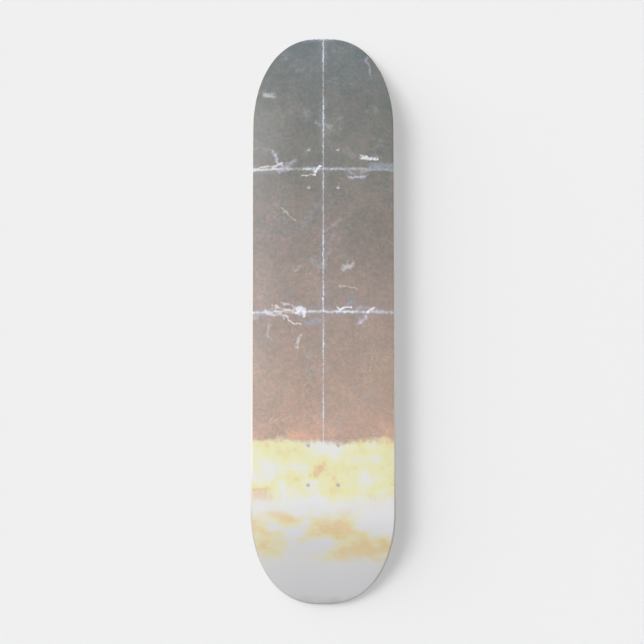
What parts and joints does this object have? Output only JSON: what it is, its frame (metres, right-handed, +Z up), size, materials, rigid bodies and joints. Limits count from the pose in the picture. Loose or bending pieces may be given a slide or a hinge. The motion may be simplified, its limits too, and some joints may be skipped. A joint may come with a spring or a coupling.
{
  "type": "skateboard deck",
  "caption": "Bare popsicle skateboard deck of laminated maple, printed underside, drilled for trucks, with kicked nose and tail and a shallow concave.",
  "frame": {"origin": "the middle of the deck's length and width, on the surface that the tips of the nose and tail rest on", "axes": "+Y along the deck to the nose, +X across it, +Z up, out of the printed side of the flat middle"},
  "size_m": [0.2002, 0.8096, 0.0555],
  "materials": {
    "maple_face_veneer": "sanded and sealed hard maple, satin",
    "maple_core_veneer": "sanded hard maple edge, long grain",
    "maple_crossband_veneer": "sanded hard maple edge, end grain",
    "printed_film": "heat-transfer print, semi-gloss, dark weathered grey-brown to cream",
    "clear_coat": "clear lacquer over maple, satin"
  },
  "bodies": {
    "root": {"riding_face_ply": "maple_face_veneer", "riding_core_ply": "maple_core_veneer", "riding_crossband_ply": "maple_crossband_veneer", "middle_core_ply": "maple_core_veneer", "print_crossband_ply": "maple_crossband_veneer", "print_core_ply": "maple_core_veneer", "print_face_ply": "maple_face_veneer", "printed_film": "printed_film", "clear_coat": "clear_coat"}
  },
  "joints": []
}
